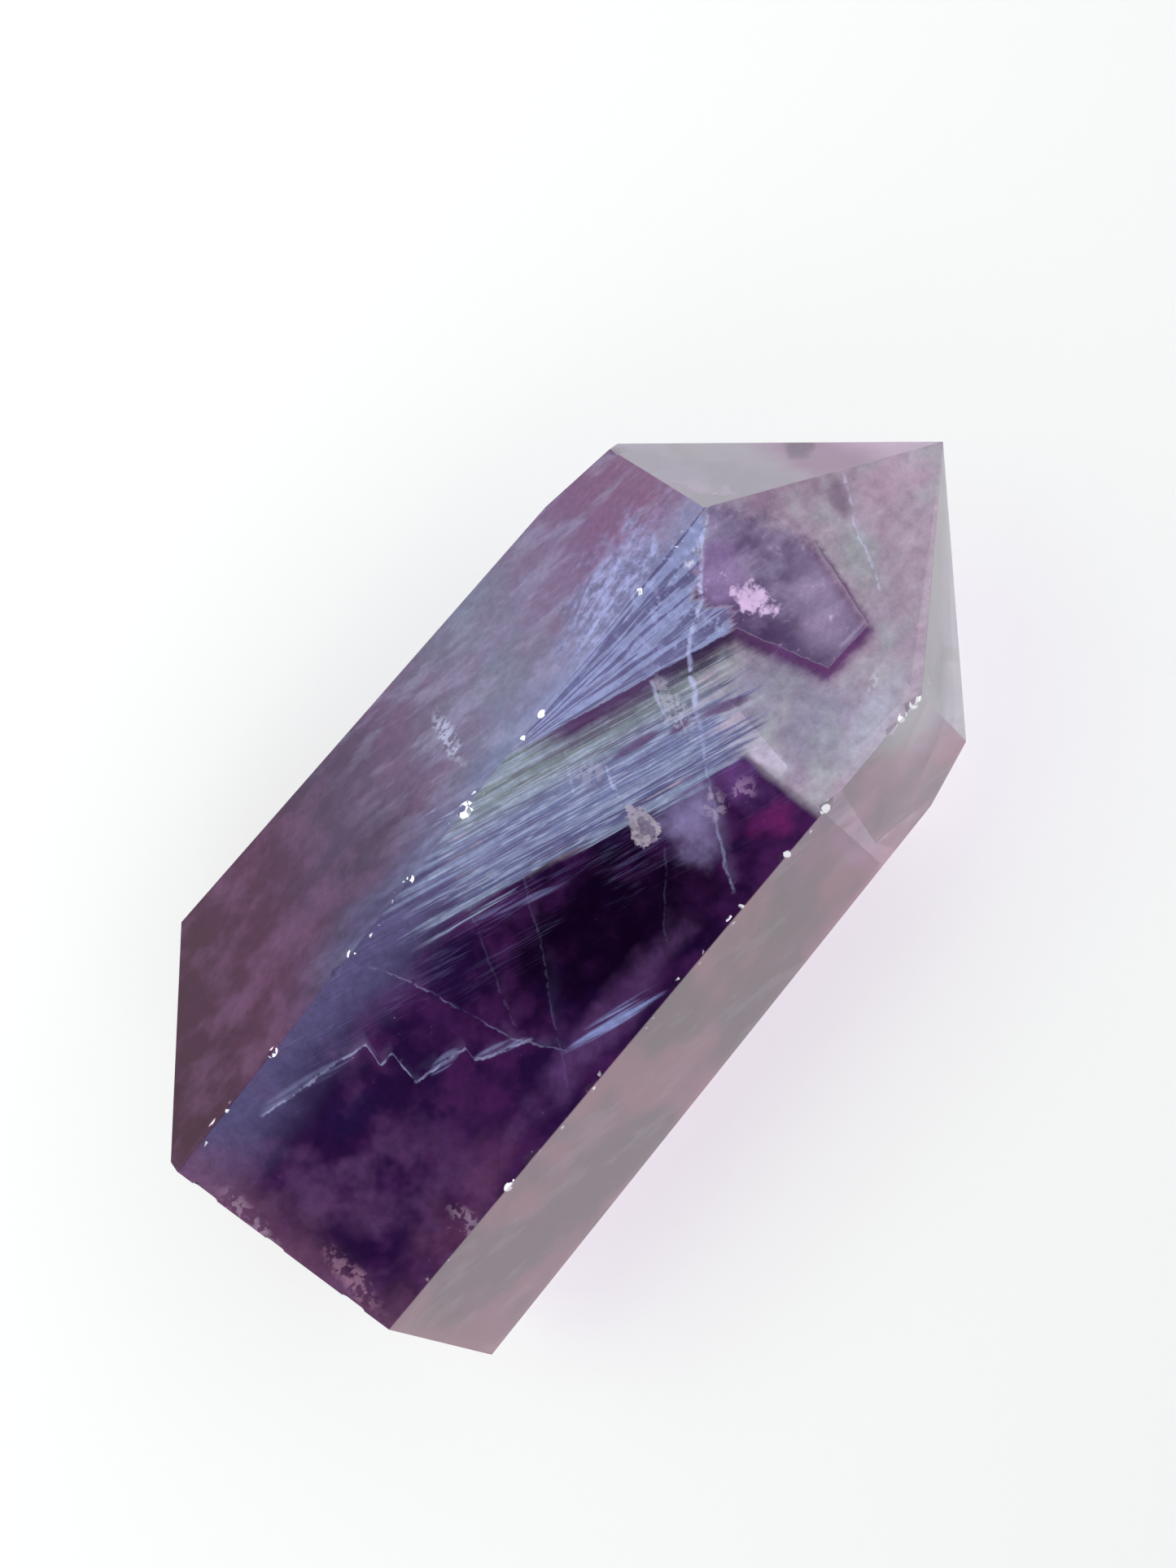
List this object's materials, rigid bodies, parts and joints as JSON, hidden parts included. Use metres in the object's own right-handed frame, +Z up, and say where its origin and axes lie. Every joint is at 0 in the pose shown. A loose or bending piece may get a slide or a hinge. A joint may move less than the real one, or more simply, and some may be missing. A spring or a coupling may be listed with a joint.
{
  "type": "fluorite point",
  "caption": "Polished fluorite crystal point: a six-sided body with a faceted tip and a flat ground base, lying on one of its long faces.",
  "frame": {"origin": "on the surface that the point lies on, under the middle of its footprint", "axes": "+X along the body towards the tip, +Z up out of the broad front face"},
  "size_m": [0.0812, 0.043, 0.033],
  "materials": {
    "violet_fluorite": "polished"
  },
  "bodies": {
    "root": {"fluorite_point": "violet_fluorite"}
  },
  "joints": []
}
